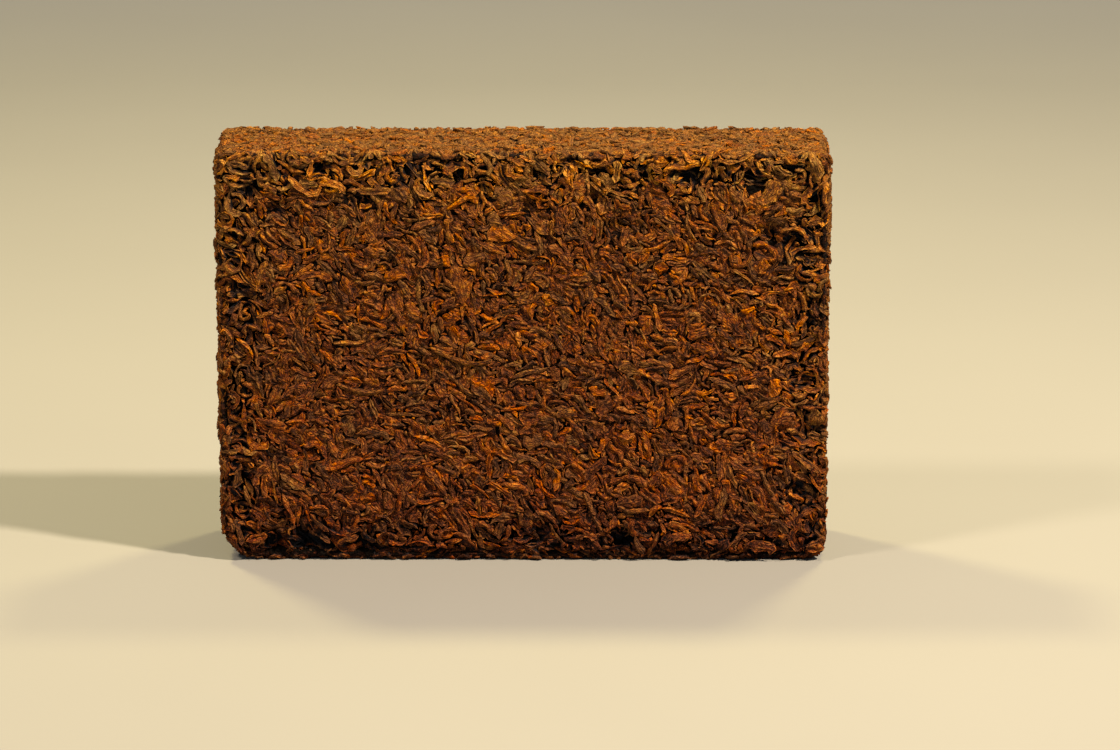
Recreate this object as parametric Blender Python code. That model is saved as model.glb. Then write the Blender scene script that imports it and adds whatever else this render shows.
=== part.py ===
# A brick of pressed, fermented tea leaf, standing on one of its long narrow sides.
# Units are metres and +Z is up. The broad pressed face looks towards -Y, and the
# origin is on the surface that the brick stands on, under the middle of its box.
import math
import random

import bmesh
import bpy
from mathutils import Vector, noise
from mathutils.bvhtree import BVHTree

MM = 0.001
SEED = 54

# The pressed block, without the leaf that stands proud of it.
WIDTH = 138.9 * MM
THICKNESS = 28.9 * MM
HEIGHT = 96.0 * MM
RIM_ROUNDING = 2.8 * MM  # round the rims of the two broad faces
CORNER_ROUNDING = {  # seen from the front: (side, top or bottom)
    (-1, 1): 2.6 * MM,
    (1, 1): 3.4 * MM,
    (-1, -1): 9.5 * MM,  # this corner has crumbled away
    (1, -1): 4.6 * MM,
}
NET_STEP = 3.8 * MM  # the net whose edges become the ridges of single leaves
NET_STEP_ACROSS = 5.8 * MM
NET_JITTER = 0.95 * MM

# Relief of the leaf: tight in the middle of the broad faces, loose along their rims.
LOOSE_BAND = 15 * MM
TIGHT_RELIEF = 0.75 * MM
LOOSE_RELIEF = 1.5 * MM
SIDE_RELIEF = 0.4 * MM  # the narrow sides come smooth out of the mould
CREST_SHARE = 0.4  # the press holds the crests down, so the relief is mostly hollows
HOLLOW_DEPTH = 1.6 * MM
HOLLOW_SIZE = 6.5 * MM
# Deep hollows of the front face: across, up, radius, depth.
FRONT_HOLLOWS = (
    (51 * MM, 87 * MM, 5.5 * MM, 2.6 * MM),
    (64 * MM, 76 * MM, 4.5 * MM, 2.4 * MM),
    (-54 * MM, 88 * MM, 6.0 * MM, 1.9 * MM),
    (-62 * MM, 63 * MM, 4.5 * MM, 1.7 * MM),
    (62 * MM, 22 * MM, 5.0 * MM, 1.6 * MM),
)
# The sole: the part of the underside that lies flat on a table.
SOLE_INSET = 2.6 * MM

# Twisted strands, curls and flat bits of leaf that are large enough to be shaped one by one.
STRAND_COUNT = 92
STRAND_SPACING_TRIES = 24
KINDS = {  # share, length, width, height, sides, rings, turn in degrees
    "strand": (0.50, (8.0, 12.0), (1.8, 2.3), (1.7, 2.0), 4, 4, (10, 70)),
    "curl": (0.16, (9.0, 12.0), (1.6, 2.0), (1.6, 1.9), 4, 6, (150, 235)),
    "leaf": (0.24, (7.5, 10.5), (3.8, 5.6), (1.5, 1.8), 5, 4, (0, 35)),
    "stalk": (0.10, (13.0, 17.0), (1.5, 1.8), (1.6, 1.8), 4, 6, (20, 60)),
}
STRAND_LIFT = 0.3  # of its height, between a strand's middle and the relief under it
STRAND_PROUD = 0.55 * MM  # the most that a strand stands out of the plain block
# Strands that stand out on the front face: kind, across, up, length, heading, turn.
FRONT_STRANDS = (
    ("strand", -14.7, 84.0, 8.5, 38, -95),  # hook
    ("strand", -17.2, 78.3, 6.5, 90, 12),  # upright strip
    ("strand", -33.5, 87.4, 9.0, 4, 20),
    ("leaf", -14.6, 65.5, 9.5, 96, 10),
    ("leaf", 46.4, 56.8, 9.0, 58, 25),
    ("curl", 63.4, 10.6, 13.0, 40, 285),  # ring
    ("stalk", -14.2, 47.6, 15.0, -18, 62),
)

LEAF_COLOUR = (0.075, 0.034, 0.014, 1)
LEAF_ROUGHNESS = 0.68


def smooth(value):
    value = min(max(value, 0.0), 1.0)
    return value * value * (3 - 2 * value)


def outline_distance(across, up):
    """Distance outside the front outline, negative inside, and the way out."""
    side = 1 if across > 0 else -1
    end = 1 if up > 0 else -1
    radius = CORNER_ROUNDING[side, end]
    past = Vector((abs(across) - (WIDTH / 2 - radius), abs(up) - (HEIGHT / 2 - radius)))
    if past.x > 0 and past.y > 0:
        way = past.normalized()
        distance = past.length - radius
    elif past.x > past.y:
        way = Vector((1, 0))
        distance = past.x - radius
    else:
        way = Vector((0, 1))
        distance = past.y - radius
    return distance, Vector((way.x * side, 0, way.y * end))


def round_off(point):
    """Moves a point of the plain box onto the block with rounded corners and rims."""
    side = 1 if point.x > 0 else -1
    end = 1 if point.z > 0 else -1
    radius = CORNER_ROUNDING[side, end]
    past = Vector((abs(point.x) - (WIDTH / 2 - radius), abs(point.z) - (HEIGHT / 2 - radius)))
    if past.x > 0 and past.y > 0:
        past *= max(past) / past.length
        point.x = side * (WIDTH / 2 - radius + past.x)
        point.z = end * (HEIGHT / 2 - radius + past.y)
    distance, way = outline_distance(point.x, point.z)
    rim = Vector((RIM_ROUNDING + distance, abs(point.y) - (THICKNESS / 2 - RIM_ROUNDING)))
    if rim.x > 0 and rim.y > 0:
        moved = rim * (max(rim) / rim.length)
        point += way * (moved.x - rim.x)
        point.y -= math.copysign(rim.y - moved.y, point.y)
    return point


def broadness(normal):
    """1 on the two broad faces, 0 on the narrow sides, little on the rims between them."""
    return smooth((abs(normal.y) - 0.6) / 0.4)


def looseness(point, normal):
    distance = outline_distance(point.x, point.z)[0]
    return smooth(1 + distance / LOOSE_BAND) * broadness(normal)


def relief(point, normal, share):
    """How far the packed leaf stands above or below the plain block at a point."""
    loose = looseness(point, normal)
    broad = broadness(normal)
    height = SIDE_RELIEF + (TIGHT_RELIEF - SIDE_RELIEF) * broad
    height += (LOOSE_RELIEF - TIGHT_RELIEF) * loose
    height *= share if share < 0 else share * CREST_SHARE
    gap = noise.noise(point / HOLLOW_SIZE + Vector((7, 3, 5)))
    height -= HOLLOW_DEPTH * loose * smooth((gap - 0.1) / 0.3)
    if normal.y < -0.5:
        for across, up, radius, depth in FRONT_HOLLOWS:
            away = math.hypot(point.x - across, point.z + HEIGHT / 2 - up)
            height -= depth * smooth(1 - away / radius)
    return height


def leaf_ridges(bm, draw):
    """The share of the relief at each point of the net, from -1 to 1.

    A leaf is one edge of the net: both its ends are high, and the points on
    either side of it are low, so its ridge is long and its flanks fall away.
    """
    share = {}
    edges = list(bm.edges)
    draw.shuffle(edges)
    for edge in edges:
        if any(vert in share for vert in edge.verts):
            continue
        crest = draw.uniform(0.45, 1)
        for vert in edge.verts:
            share[vert] = crest * draw.uniform(0.75, 1)
        for face in edge.link_faces:
            for vert in face.verts:
                share.setdefault(vert, -draw.uniform(0.5, 1))
    return share


def make_block():
    """The pressed block: a box cut into a grid, rounded off and given its relief."""
    mesh = bpy.data.meshes.new("block")
    bm = bmesh.new()
    bmesh.ops.create_cube(bm, size=1)
    bmesh.ops.scale(bm, vec=(WIDTH, THICKNESS, HEIGHT), verts=bm.verts)
    steps = (NET_STEP, NET_STEP_ACROSS, NET_STEP)
    for axis, (length, step) in enumerate(zip((WIDTH, THICKNESS, HEIGHT), steps)):
        along = [
            edge
            for edge in bm.edges
            if abs((edge.verts[1].co - edge.verts[0].co).normalized()[axis]) > 0.9
        ]
        cuts = round(length / step) - 1
        bmesh.ops.subdivide_edges(bm, edges=along, cuts=cuts, use_grid_fill=True)
    draw = random.Random(SEED)
    for vert in bm.verts:
        inside = Vector((WIDTH, THICKNESS, HEIGHT)) / 2 - Vector(map(abs, vert.co))
        for axis in range(3):
            if inside[axis] > NET_STEP / 2:
                vert.co[axis] += draw.uniform(-NET_JITTER, NET_JITTER)
        vert.co = round_off(vert.co)
    bmesh.ops.triangulate(bm, faces=bm.faces, quad_method="BEAUTY")
    bm.normal_update()
    moves = [
        (vert, vert.normal * relief(vert.co, vert.normal, share))
        for vert, share in leaf_ridges(bm, draw).items()
    ]
    for vert, move in moves:
        if on_sole(vert.co):
            vert.co.z = -HEIGHT / 2
        else:
            vert.co += move
            vert.co.z = max(vert.co.z, -HEIGHT / 2 + 0.1 * MM)
    bmesh.ops.translate(bm, verts=bm.verts, vec=(0, 0, HEIGHT / 2))
    bm.normal_update()
    bm.to_mesh(mesh)
    bm.free()
    return bpy.data.objects.new("tea_brick", mesh)


def on_sole(point):
    under = point.z < -HEIGHT / 2 + 0.01 * MM
    inset = THICKNESS / 2 - SOLE_INSET - abs(point.y)
    return under and inset > 0


def even_spots(surface, count, taken, draw):
    """Spots spread evenly over the block, each the candidate farthest from those before it."""
    faces = [face for face in surface.data.polygons if face.normal.z > -0.5]
    areas = [face.area * (1 + looseness_at(face.center, face.normal)) for face in faces]
    points = [vert.co for vert in surface.data.vertices]
    while len(taken) < count:
        best = None
        for face in draw.choices(faces, areas, k=STRAND_SPACING_TRIES):
            a, b, c = (points[index] for index in face.vertices)
            first, second = sorted((draw.random(), draw.random()))
            spot = a * first + b * (second - first) + c * (1 - second)
            gap = min(((spot - other).length for other in taken), default=1)
            if best is None or gap > best[0]:
                best = (gap, spot)
        taken.append(best[1])
        yield best[1]


def looseness_at(point, normal):
    return looseness(point - Vector((0, 0, HEIGHT / 2)), normal)


def pressed(point, draw):
    """A point of a strand, held back to where the press and the table would hold it."""
    proud = STRAND_PROUD * draw.uniform(0.7, 1)
    most = THICKNESS / 2 + proud
    point.y = min(max(point.y, -most), most)
    distance, way = outline_distance(point.x, point.z - HEIGHT / 2)
    if distance > proud:
        point -= way * (distance - proud)
    point.z = max(point.z, 0.25 * MM)
    return point


def add_strand(name, tree, spot, kind, length, heading, turn, draw):
    """One strand or bit of leaf, bent over the block from a stretched low sphere."""
    widths, heights, sides, rings = KINDS[kind][2:6]
    width = draw.uniform(*widths) * MM
    height = draw.uniform(*heights) * MM
    place, normal, _, _ = tree.find_nearest(spot)
    ahead = Vector((0, 0, 1)).cross(normal)
    if ahead.length < 0.3:
        ahead = Vector((1, 0, 0))
    ahead.normalize()
    beside = normal.cross(ahead)
    mesh = bpy.data.meshes.new(name)
    bm = bmesh.new()
    bmesh.ops.create_uvsphere(bm, u_segments=sides, v_segments=rings, radius=1)
    curve = turn / length
    for vert in bm.verts:
        along = vert.co.z * length / 2
        angle = curve * along
        if abs(curve * length) < 0.01:
            flat = (along, 0.0)
        else:
            flat = (math.sin(angle) / curve, (1 - math.cos(angle)) / curve)
        cosine, sine = math.cos(heading), math.sin(heading)
        right = flat[0] * cosine - flat[1] * sine
        up = flat[0] * sine + flat[1] * cosine
        guess = place + ahead * right + beside * up
        ground, out, _, _ = tree.find_nearest(guess)
        out = (out + normal).normalized()
        forward = ahead * math.cos(heading + angle) + beside * math.sin(heading + angle)
        across = out.cross(forward).normalized()
        rise = height * (STRAND_LIFT + 0.5 * vert.co.y)
        point = ground + across * (vert.co.x * width / 2) + out * rise
        vert.co = pressed(point, draw)
    bmesh.ops.triangulate(bm, faces=bm.faces)
    bmesh.ops.recalc_face_normals(bm, faces=bm.faces)
    bm.to_mesh(mesh)
    bm.free()
    return bpy.data.objects.new(name, mesh)


def make_strands(block, home):
    """All the strands that are shaped one by one, laid on the block."""
    draw = random.Random(SEED + 1)
    tree = BVHTree.FromPolygons(
        [vert.co for vert in block.data.vertices],
        [face.vertices for face in block.data.polygons],
    )
    taken = []
    for kind, across, up, length, heading, turn in FRONT_STRANDS:
        spot = Vector((across * MM, -THICKNESS / 2, up * MM))
        taken.append(spot)
        name = f"front_{kind}_{len(taken)}"
        strand = add_strand(
            name, tree, spot, kind, length * MM, math.radians(heading), math.radians(turn), draw
        )
        home.objects.link(strand)
    kinds = list(KINDS)
    shares = [KINDS[kind][0] for kind in kinds]
    for spot in even_spots(block, STRAND_COUNT, taken, draw):
        kind = draw.choices(kinds, shares)[0]
        length = draw.uniform(*KINDS[kind][1]) * MM
        turn = math.radians(draw.uniform(*KINDS[kind][6])) * draw.choice((-1, 1))
        heading = draw.uniform(0, 2 * math.pi)
        name = f"{kind}_{len(taken)}"
        home.objects.link(add_strand(name, tree, spot, kind, length, heading, turn, draw))


def join_strands(block, strands):
    """Joins the strands and the block into one solid and clears the loose strands away."""
    join = block.modifiers.new("join", "BOOLEAN")
    join.operation = "UNION"
    join.operand_type = "COLLECTION"
    join.collection = strands
    join.solver = "MANIFOLD"
    graph = bpy.context.evaluated_depsgraph_get()
    joined = bpy.data.meshes.new_from_object(block.evaluated_get(graph))
    block.modifiers.clear()
    block.data = joined
    for strand in list(strands.objects):
        bpy.data.objects.remove(strand)
    bpy.data.collections.remove(strands)


def keep_outer_skin(block):
    """Drops scraps and inner shells that the union may leave, and cuts it into triangles."""
    bm = bmesh.new()
    bm.from_mesh(block.data)
    bmesh.ops.triangulate(bm, faces=bm.faces)
    left = set(bm.verts)
    shells = []
    while left:
        shell, to_visit = set(), [left.pop()]
        while to_visit:
            vert = to_visit.pop()
            shell.add(vert)
            for edge in vert.link_edges:
                other = edge.other_vert(vert)
                if other in left:
                    left.remove(other)
                    to_visit.append(other)
        shells.append(shell)
    shells.sort(key=len)
    for shell in shells[:-1]:
        bmesh.ops.delete(bm, geom=list(shell), context="VERTS")
    bm.to_mesh(block.data)
    bm.free()


def centre_on_box(block):
    xs = [vert.co.x for vert in block.data.vertices]
    ys = [vert.co.y for vert in block.data.vertices]
    shift = Vector((-(min(xs) + max(xs)) / 2, -(min(ys) + max(ys)) / 2, 0))
    for vert in block.data.vertices:
        vert.co += shift


def leaf_material():
    material = bpy.data.materials.new("pressed_tea_leaf")
    material.use_nodes = True
    shader = material.node_tree.nodes["Principled BSDF"]
    shader.inputs["Base Color"].default_value = LEAF_COLOUR
    shader.inputs["Roughness"].default_value = LEAF_ROUGHNESS
    shader.inputs["Metallic"].default_value = 0
    return material


def main():
    for old in list(bpy.data.objects):
        bpy.data.objects.remove(old)
    home = bpy.data.collections.new("tea_brick")
    strands = bpy.data.collections.new("strands_to_join")
    for collection in (home, strands):
        bpy.context.scene.collection.children.link(collection)
    strands.hide_render = True
    block = make_block()
    home.objects.link(block)
    make_strands(block, strands)
    join_strands(block, strands)
    keep_outer_skin(block)
    centre_on_box(block)
    block.data.materials.clear()
    block.data.materials.append(leaf_material())
    block.data.shade_flat()


main()
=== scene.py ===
import math
import time
from functools import partial

import bpy
import numpy as np
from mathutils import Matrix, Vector, noise


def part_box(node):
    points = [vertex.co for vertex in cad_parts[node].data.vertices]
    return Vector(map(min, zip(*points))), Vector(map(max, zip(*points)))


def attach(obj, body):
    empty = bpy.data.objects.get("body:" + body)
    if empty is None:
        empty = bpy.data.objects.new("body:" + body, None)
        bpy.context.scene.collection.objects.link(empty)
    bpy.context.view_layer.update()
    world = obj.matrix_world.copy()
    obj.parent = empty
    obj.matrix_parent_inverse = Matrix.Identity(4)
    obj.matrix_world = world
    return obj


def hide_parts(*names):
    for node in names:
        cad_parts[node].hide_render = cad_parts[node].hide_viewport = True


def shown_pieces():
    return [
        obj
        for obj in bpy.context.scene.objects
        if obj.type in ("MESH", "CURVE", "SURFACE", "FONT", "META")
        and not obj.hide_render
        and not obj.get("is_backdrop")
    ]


# A brick of pressed, fermented tea, standing on a long narrow side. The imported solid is
# replaced by the leaf itself: thousands of rolled leaves laid into each other over a core.

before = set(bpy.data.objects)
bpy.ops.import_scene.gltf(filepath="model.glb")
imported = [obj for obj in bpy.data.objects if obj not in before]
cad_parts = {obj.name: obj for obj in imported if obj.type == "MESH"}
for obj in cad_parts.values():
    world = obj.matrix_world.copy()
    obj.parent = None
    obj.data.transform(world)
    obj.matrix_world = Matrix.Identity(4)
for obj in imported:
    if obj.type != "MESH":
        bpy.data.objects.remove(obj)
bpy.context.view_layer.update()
brickLow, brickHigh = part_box("tea_brick")
began = time.perf_counter()

mm = 0.001
draw = np.random.default_rng(21)
waveCount = 7
waveNorm = 3.2  # keeps nine tenths of the crossed waves between -1 and 1


def say(text):
    print(f"[{time.perf_counter() - began:5.1f} s] {text}")


def eased(value):
    value = np.clip(value, 0, 1)
    return value * value * (3 - 2 * value)


def unit(vectors):
    return vectors / np.maximum(np.linalg.norm(vectors, axis=-1, keepdims=True), 1e-12)


# A cheap, smooth, seeded noise for many points at once: crossed waves, mostly from -1 to 1.
def ripple(points, size, seed):
    dice = np.random.default_rng(seed)
    total = np.zeros(points.shape[:-1])
    for _ in range(waveCount):
        way = dice.normal(size=3)
        way *= dice.uniform(0.6, 1.6) * 2 * math.pi / size / np.linalg.norm(way)
        total += np.sin(points @ way + dice.uniform(0, 2 * math.pi))
    return total / waveNorm


# The pressed block that everything is laid on.
blockForm = {
    "proud": 0.55 * mm,  # how far single leaves stand out of the block
    "rimRounding": 2.8 * mm,  # round the rims of the two broad faces
    "cornerRounding": (  # left: bottom, top; right: bottom, top
        (9.5 * mm, 2.6 * mm),
        (4.6 * mm, 3.4 * mm),
    ),
    "looseBand": 15 * mm,  # along the rims of the broad faces
    "cell": 0.3 * mm,  # grain of the map that keeps what covers what
    "undercut": dict(high=3.6 * mm, inward=2.4 * mm, depth=1.5 * mm, size=7 * mm),  # bottom rim
    "rimGaps": dict(size=6.5 * mm, depth=1.05 * mm, start=0.14, over=0.3),
    "rimDents": dict(size=5 * mm, depth=0.22 * mm),
    "endDents": dict(size=3.6 * mm, depth=0.38 * mm),  # on the two upright narrow sides
    "hollows": (  # deep pits in the front: across, up, radius, depth, in mm
        (52.3, 89.8, 3.5, 1.7),
        (37.1, 90.4, 3.2, 1.6),
        (66.0, 85.0, 2.8, 1.6),
        (55.5, 77.0, 3.6, 1.5),
        (60.8, 75.0, 3.7, 1.7),
        (-55.0, 83.2, 3.0, 1.7),
        (-62.0, 87.3, 3.2, 1.6),
        (-45.5, 92.0, 2.8, 1.8),
        (-36.5, 85.0, 2.8, 1.7),
        (-15.0, 91.0, 2.6, 1.4),
        (-66.0, 73.5, 2.6, 1.2),
        (-62.0, 62.0, 2.8, 1.1),
        (1.7, 83.3, 2.4, 1.3),
        (16.6, 85.6, 2.4, 1.5),
        (22.0, 79.2, 2.8, 1.5),
        (62.6, 17.4, 4.0, 1.5),
        (23.3, 4.6, 3.6, 2.0),
        (-56.0, 3.2, 5.0, 2.4),
        (-48.5, 4.0, 5.0, 2.4),
        (-37.0, 3.0, 4.0, 2.0),
    ),
}
half = np.array((brickHigh - brickLow) / 2) - blockForm["proud"]
half[2] += blockForm["proud"] / 2  # nothing stands out of the underside
middle = np.array((brickLow + brickHigh) / 2)
middle[2] = brickLow.z + half[2]
cornerRounding = np.array(blockForm["cornerRounding"])
rimRounding = blockForm["rimRounding"]


# How far points are outside the block, negative inside, the way out, and how far they
# are outside its front outline.
def fromBlock(points):
    local = points - middle
    signs = np.where(local > 0, 1.0, -1.0)
    away = np.abs(local)
    radius = cornerRounding[(local[..., 0] > 0).astype(int), (local[..., 2] > 0).astype(int)]
    overX = away[..., 0] - (half[0] - radius)
    overZ = away[..., 2] - (half[2] - radius)
    inCorner = (overX > 0) & (overZ > 0)
    length = np.maximum(np.hypot(overX, overZ), 1e-12)
    outline = np.where(inCorner, length, np.maximum(overX, overZ)) - radius
    wayX = np.where(inCorner, overX / length, overX > overZ)
    wayZ = np.where(inCorner, overZ / length, overX <= overZ)
    beside = outline + rimRounding
    before = away[..., 1] - (half[1] - rimRounding)
    onRim = (beside > 0) & (before > 0)
    reach = np.maximum(np.hypot(beside, before), 1e-12)
    distance = np.where(onRim, reach, np.maximum(beside, before)) - rimRounding
    sideways = np.where(onRim, beside / reach, beside > before)
    forwards = np.where(onRim, before / reach, beside <= before)
    way = np.stack((wayX * sideways, forwards, wayZ * sideways), -1) * signs
    return distance, way, outline


def ontoBlock(points):
    distance, way, outline = fromBlock(points)
    points = points - way * distance[..., None]
    return points, way, outline


# The map: six sheets of small cells, one for each side of the block.
cell = blockForm["cell"]
cellCounts = np.ceil(2 * half / cell).astype(int) + 1
sheetAxes = ((1, 2), (0, 2), (0, 1))
sheetSizes = [cellCounts[a] * cellCounts[b] for a, b in sheetAxes]
sheetStarts = np.array([
    [sum(sheetSizes[:axis]) * 2 + side * sheetSizes[axis] for side in (0, 1)] for axis in range(3)
])
sheetRows = np.array([cellCounts[b] for _, b in sheetAxes])


def cellsAt(points, ways):
    spots = ((points - middle + half) / cell).round().astype(int)
    spots = np.clip(spots, 0, cellCounts - 1)
    axis = np.abs(ways).argmax(-1)
    side = (np.take_along_axis(ways, axis[..., None], -1)[..., 0] > 0).astype(int)
    first = np.where(axis == 0, spots[..., 1], spots[..., 0])
    second = np.where(axis == 2, spots[..., 1], spots[..., 2])
    return sheetStarts[axis, side] + first * sheetRows[axis] + second


def mapOfBlock():
    places, owners = [], []
    for axis, (a, b) in enumerate(sheetAxes):
        for side in (0, 1):
            grid = np.zeros((cellCounts[a], cellCounts[b], 3))
            grid[..., a] = (np.arange(cellCounts[a]) * cell - half[a])[:, None]
            grid[..., b] = (np.arange(cellCounts[b]) * cell - half[b])[None, :]
            grid[..., axis] = half[axis] * (1 if side else -1)
            places.append(grid.reshape(-1, 3) + middle)
            owners.append(np.full(len(places[-1]), axis * 2 + side))
    points, ways, outline = ontoBlock(np.concatenate(places))
    axis = np.abs(ways).argmax(-1)
    side = np.take_along_axis(ways, axis[:, None], -1)[:, 0] > 0
    used = axis * 2 + side == np.concatenate(owners)
    return points, ways, outline, used


cellPoints, cellWays, cellOutline, cellUsed = mapOfBlock()
broad = eased((np.abs(cellWays[:, 1]) - 0.6) / 0.4)
loose = eased(1 + cellOutline / blockForm["looseBand"]) * broad


# How far the press let the leaf sink at each cell: pits along the rims and in the front.
def sinkOfBlock():
    local = cellPoints - middle
    sink = np.zeros(len(local))
    gaps = blockForm["rimGaps"]
    near = np.flatnonzero(loose > 0.05)
    gap = np.array([noise.noise(Vector(p) / gaps["size"] + Vector((7, 3, 5))) for p in local[near]])
    sink[near] += gaps["depth"] * loose[near] * eased((gap - gaps["start"]) / gaps["over"])
    dents = blockForm["rimDents"]
    sink += dents["depth"] * loose * (0.5 + 0.5 * ripple(local, dents["size"], 3))
    dents = blockForm["endDents"]
    ends = eased((np.abs(cellWays[:, 0]) - 0.5) / 0.4)
    sink += dents["depth"] * ends * eased(0.35 + 0.6 * ripple(local, dents["size"], 8))
    undercut = blockForm["undercut"]
    above = cellPoints[:, 2] - brickLow.z
    under = cellWays[:, 2] < -0.8
    inward = half[1] - np.abs(local[:, 1])
    crumbled = undercut["depth"] * (0.8 + 0.5 * ripple(local, undercut["size"], 4))
    below = 0.7 * eased(1 - inward / undercut["inward"])
    sink += crumbled * np.where(under, below, eased(1 - above / undercut["high"]))
    front = cellWays[:, 1] < -0.5
    for across, up, radius, depth in blockForm["hollows"]:
        away = np.hypot(cellPoints[:, 0] / mm - across, cellPoints[:, 2] / mm - up)
        sink += front * depth * mm * eased(1.15 * (1 - away / radius))
    return sink


sunk = sinkOfBlock()
bare = -1.0  # a cell that nothing covers
top = np.full(len(cellPoints), bare)
say(f"block mapped, {cellUsed.sum()} cells")

# The kinds of leaf. Each leaf runs along the block and dips under what is already there.
leafColumns = (
    "length", "width", "thick",  # in mm
    "bend", "sway", "kink", "lean",  # in degrees
    "rings", "blunt", "furrows", "crumple",  # rings along it, blunt ends, section, crumple in mm
)
leafTable = {
    "flat": ((3.0, 5.6), (2.0, 3.4), (0.8, 1.1), (0, 40), 12, 10, 14, 7, (2.6, 6), "crumpled", 0.26),
    "rolled": ((3.4, 8.2), (0.95, 1.7), (1.0, 1.4), (0, 45), 20, 32, 26, 6, (4, 12), "deep", 0.17),
    "curled": ((4.5, 8.5), (0.95, 1.6), (1.0, 1.3), (70, 220), 30, 40, 28, 10, (3, 8), "some", 0.18),
    "thin": ((2.8, 7.0), (0.5, 0.8), (0.6, 0.85), (5, 110), 28, 40, 20, 6, (3, 8), "few", 0.12),
    "buried": ((2.0, 4.6), (0.9, 1.6), (0.9, 1.3), (0, 60), 18, 35, 32, 5, (3, 10), "some", 0.18),
    "mash": ((4.0, 8.0), (2.8, 4.6), (0.7, 0.9), (0, 40), 20, 10, 5, 8, (2.2, 4), "mashed", 0.22),
    "stalk": ((7.0, 14.0), (0.9, 1.25), (0.9, 1.1), (5, 50), 12, 12, 10, 8, (6, 12), "some", 0.06),
    "crumb": ((0.9, 2.2), (0.6, 1.15), (0.7, 1.1), (0, 60), 15, 20, 35, 3, (3, 8), "few", 0.16),
}
leafKinds = {kind: dict(zip(leafColumns, row)) for kind, row in leafTable.items()}
laid = {kind: [] for kind in leafKinds}
kinkReach, kinkPeak = 0.08, 7  # the share of a leaf that a kink takes, and how sharp it is


# The lines that leaves follow over the block, traced both ways from their middles.
def traceLeaves(starts, headings, lengths, bends, sways, phases, coils, kinks, kinkSpots, count):
    leaves = len(starts)
    points = np.empty((leaves, count, 3))
    ways = np.empty((leaves, count, 3))
    forwards = np.empty((leaves, count, 3))
    centre = count // 2
    points[:, centre], ways[:, centre], _ = ontoBlock(starts)
    out = ways[:, centre]
    right = np.cross((0.0, 0.0, 1.0), out)
    right[np.abs(out[:, 2]) > 0.8] = (1.0, 0.0, 0.0)
    right = unit(right - out * (right * out).sum(-1, keepdims=True))
    up = np.cross(out, right)
    forwards[:, centre] = right * np.cos(headings)[:, None] + up * np.sin(headings)[:, None]
    step = lengths / (count - 1)
    for sign in (1, -1):
        for number in range(1, centre + 1):
            here = centre + sign * number
            last = here - sign
            share = (here + last) / 2 / (count - 1) - 0.5
            turn = bends * (1 + 2 * coils * share)
            turn = turn + sways * 2 * math.pi * np.cos(2 * math.pi * share + phases)
            turn = turn + kinks * kinkPeak * np.exp(-(((share - kinkSpots) / kinkReach) ** 2))
            turn = turn / (count - 1) * sign
            out, ahead = ways[:, last], forwards[:, last]
            ahead = ahead * np.cos(turn)[:, None] + np.cross(out, ahead) * np.sin(turn)[:, None]
            moved, out, _ = ontoBlock(points[:, last] + ahead * (step * sign)[:, None])
            ahead = unit(ahead - out * (ahead * out).sum(-1, keepdims=True))
            points[:, here], ways[:, here], forwards[:, here] = moved, out, ahead
    return points, ways, forwards


# How full a leaf is along its length: rounded, blunt or pointed ends.
def fullness(share, blunt, power):
    return np.maximum(1 - np.abs(2 * share - 1) ** blunt, 0.0) ** power


def pickSpots(count, onBare, where):
    able = cellUsed & (top <= bare) if onBare else cellUsed
    if where == "rims":
        able = able & (loose > 0.35)
    if where == "firm":
        able = able & (loose < 0.35)
    if where == "pits":
        able = able & (sunk > 0.6 * mm)
    able = np.flatnonzero(able)
    if len(able) == 0:
        return cellPoints[:0]
    return cellPoints[draw.choice(able, count)]


# Leaves that lie side by side run much the same way, and that way wanders over the block.
# On the broad faces most run down to the right.
headingForm = {"main": math.radians(-38), "wander": math.radians(24), "spread": math.radians(38)}

# What the place does to a leaf. Sizes: on the narrow sides, more on broad faces, more where
# loose, as the mould's smooth sides break the leaf up finer and the rims keep it larger.
placeForm = {
    "length": (0.66, 0.26, 0.20),
    "width": (0.84, 0.08, 0.26),
    "evenShare": 0.7,  # of the leaves on the narrow sides, which are more even in colour
    "evenTones": (0.56, 0.76),
    "sideLift": 0.7,  # mm, how far single leaves stand out of the narrow sides
    "tilt": (0.12, 0.5),  # mm, how far one end dips where firm, and more where loose
    "sideSink": 0.55,  # how much less leaves sink on the narrow sides
    "looseDeepest": 2.5,  # mm, how much deeper leaves may lie where loose
}
strayForm = {
    "coil": 0.6,  # how unevenly curled leaves bend
    "kinkAt": 0.35,  # how far a kink may be from the middle, as a share of the length
    "power": (0.28, 0.55),  # how full the ends are
    "mapWidth": 0.74,  # the share of its width with which a leaf covers what is below
}


def laidWay(spots, onBroad):
    drift = ripple(spots, 17 * mm, 5) + 0.35 * ripple(spots, 7 * mm, 6)
    main = headingForm["main"] + headingForm["wander"] * drift
    return onBroad * main + (1 - onBroad) * math.pi * drift


def sizeAt(here, what):
    base, onBroad, whereLoose = placeForm[what]
    return base + onBroad * broad[here] + whereLoose * loose[here]


# What new leaves are like: sizes, bends, headings, tones and lifts.
def drawLeaves(form, spots):
    count = len(spots)
    here = cellsAt(spots, fromBlock(spots)[1])
    lengths = draw.uniform(*form["length"], count) * mm
    lengths = lengths * sizeAt(here, "length")
    widths = draw.uniform(*form["width"], count) * mm
    widths = widths * sizeAt(here, "width")
    thicks = draw.uniform(*form["thick"], count) * mm
    bends = np.radians(draw.uniform(*form["bend"], count)) * draw.choice((-1, 1), count)
    headings = laidWay(spots, broad[here]) + draw.normal(0, headingForm["spread"], count)
    tones = draw.uniform(0, 1, count)
    even = (broad[here] < 0.5) & (draw.random(count) < placeForm["evenShare"])
    tones = np.where(even, draw.uniform(*placeForm["evenTones"], count), tones)
    lifts = placeForm["sideLift"] * (1 - broad[here]) * draw.random(count) ** 4
    return lengths, widths, thicks, bends, headings, tones, lifts


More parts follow.
